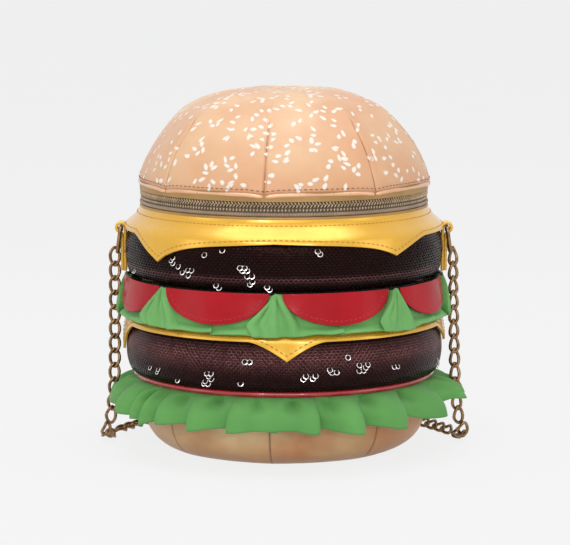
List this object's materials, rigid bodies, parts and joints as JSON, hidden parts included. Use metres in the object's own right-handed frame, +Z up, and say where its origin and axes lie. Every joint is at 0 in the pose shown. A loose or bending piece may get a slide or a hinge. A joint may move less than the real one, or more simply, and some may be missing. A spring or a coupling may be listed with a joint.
{
  "type": "hamburger-shaped handbag",
  "caption": "Round zip-around handbag shaped as a layered hamburger, with a hinged dome lid, frilled and draped layers and a chain strap.",
  "frame": {"origin": "centre of the flat base, on the surface that the bag stands on", "axes": "+Z up, front at -Y, the zip's hinge panel at +Y, the strap rings at -X and +X"},
  "size_m": [0.2032, 0.2796, 0.1997],
  "materials": {
    "top_bun_leather": "satin",
    "bottom_bun_leather": "satin",
    "hem_leather": "satin",
    "foam": "open-cell foam",
    "stiff_board": "matt",
    "lining_cloth": "plain weave",
    "gold_leather": "metallic",
    "cheese_leather": "metallic",
    "sequin_cloth": "sequins",
    "tomato_patent": "patent",
    "lettuce_light": "plain weave",
    "lettuce_dark": "plain weave",
    "piping_patent": "patent",
    "zip_tape": "twill",
    "zip_teeth": "metallised",
    "antique_brass": "antique"
  },
  "bodies": {
    "bag_body": {"bottom_bun": "bottom_bun_leather", "bottom_bun_padding": "foam", "base_board": "stiff_board", "core_wall": "stiff_board", "body_lining": "lining_cloth", "body_rim": "gold_leather", "lower_patty": "sequin_cloth", "lower_patty_padding": "foam", "upper_patty": "sequin_cloth", "upper_patty_padding": "foam", "collar_padding": "foam", "lower_cheese": "cheese_leather", "upper_cheese": "cheese_leather", "tomato_slice_1": "tomato_patent", "tomato_slice_2": "tomato_patent", "tomato_slice_3": "tomato_patent", "tomato_slice_4": "tomato_patent", "tomato_slice_5": "tomato_patent", "tomato_slice_6": "tomato_patent", "tomato_slice_7": "tomato_patent", "tomato_slice_8": "tomato_patent", "upper_lettuce": "lettuce_light", "lower_lettuce": "lettuce_dark", "red_piping": "piping_patent", "zip_tape_lower": "zip_tape", "zip_teeth_lower": "zip_teeth", "zip_end_stops": "antique_brass", "hinge_panel": "gold_leather", "side_tab_left": "gold_leather", "side_tab_right": "gold_leather", "strap_ring_left": "antique_brass", "strap_ring_right": "antique_brass", "chain_strap_left": "antique_brass", "chain_strap_right": "antique_brass", "chain_strap_wound": "antique_brass"},
    "lid": {"top_bun": "top_bun_leather", "top_bun_padding": "foam", "lid_lining": "lining_cloth", "bun_hem": "hem_leather", "lid_band": "gold_leather", "zip_tape_upper": "zip_tape", "zip_teeth_upper": "zip_teeth"},
    "slider": {"zip_slider": "antique_brass"},
    "puller": {"zip_puller": "antique_brass"}
  },
  "joints": [
    {"name": "lid_hinge", "type": "hinge", "parent": "bag_body", "child": "lid", "pos_m": [0, 0.08025, 0.1416], "axis": [-1, 0, 0], "range_deg": [0, 110], "deforming": ["hinge_panel"]},
    {"name": "slider_travel", "type": "hinge", "parent": "bag_body", "child": "slider", "pos_m": [0, 0, 0.1416], "axis": [0, 0, -1], "range_deg": [0, 292]},
    {"name": "puller_swing", "type": "hinge", "parent": "slider", "child": "puller", "pos_m": [0.04708, 0.06981, 0.1416], "axis": [0.829, -0.5592, 0], "range_deg": [0, 150]}
  ]
}
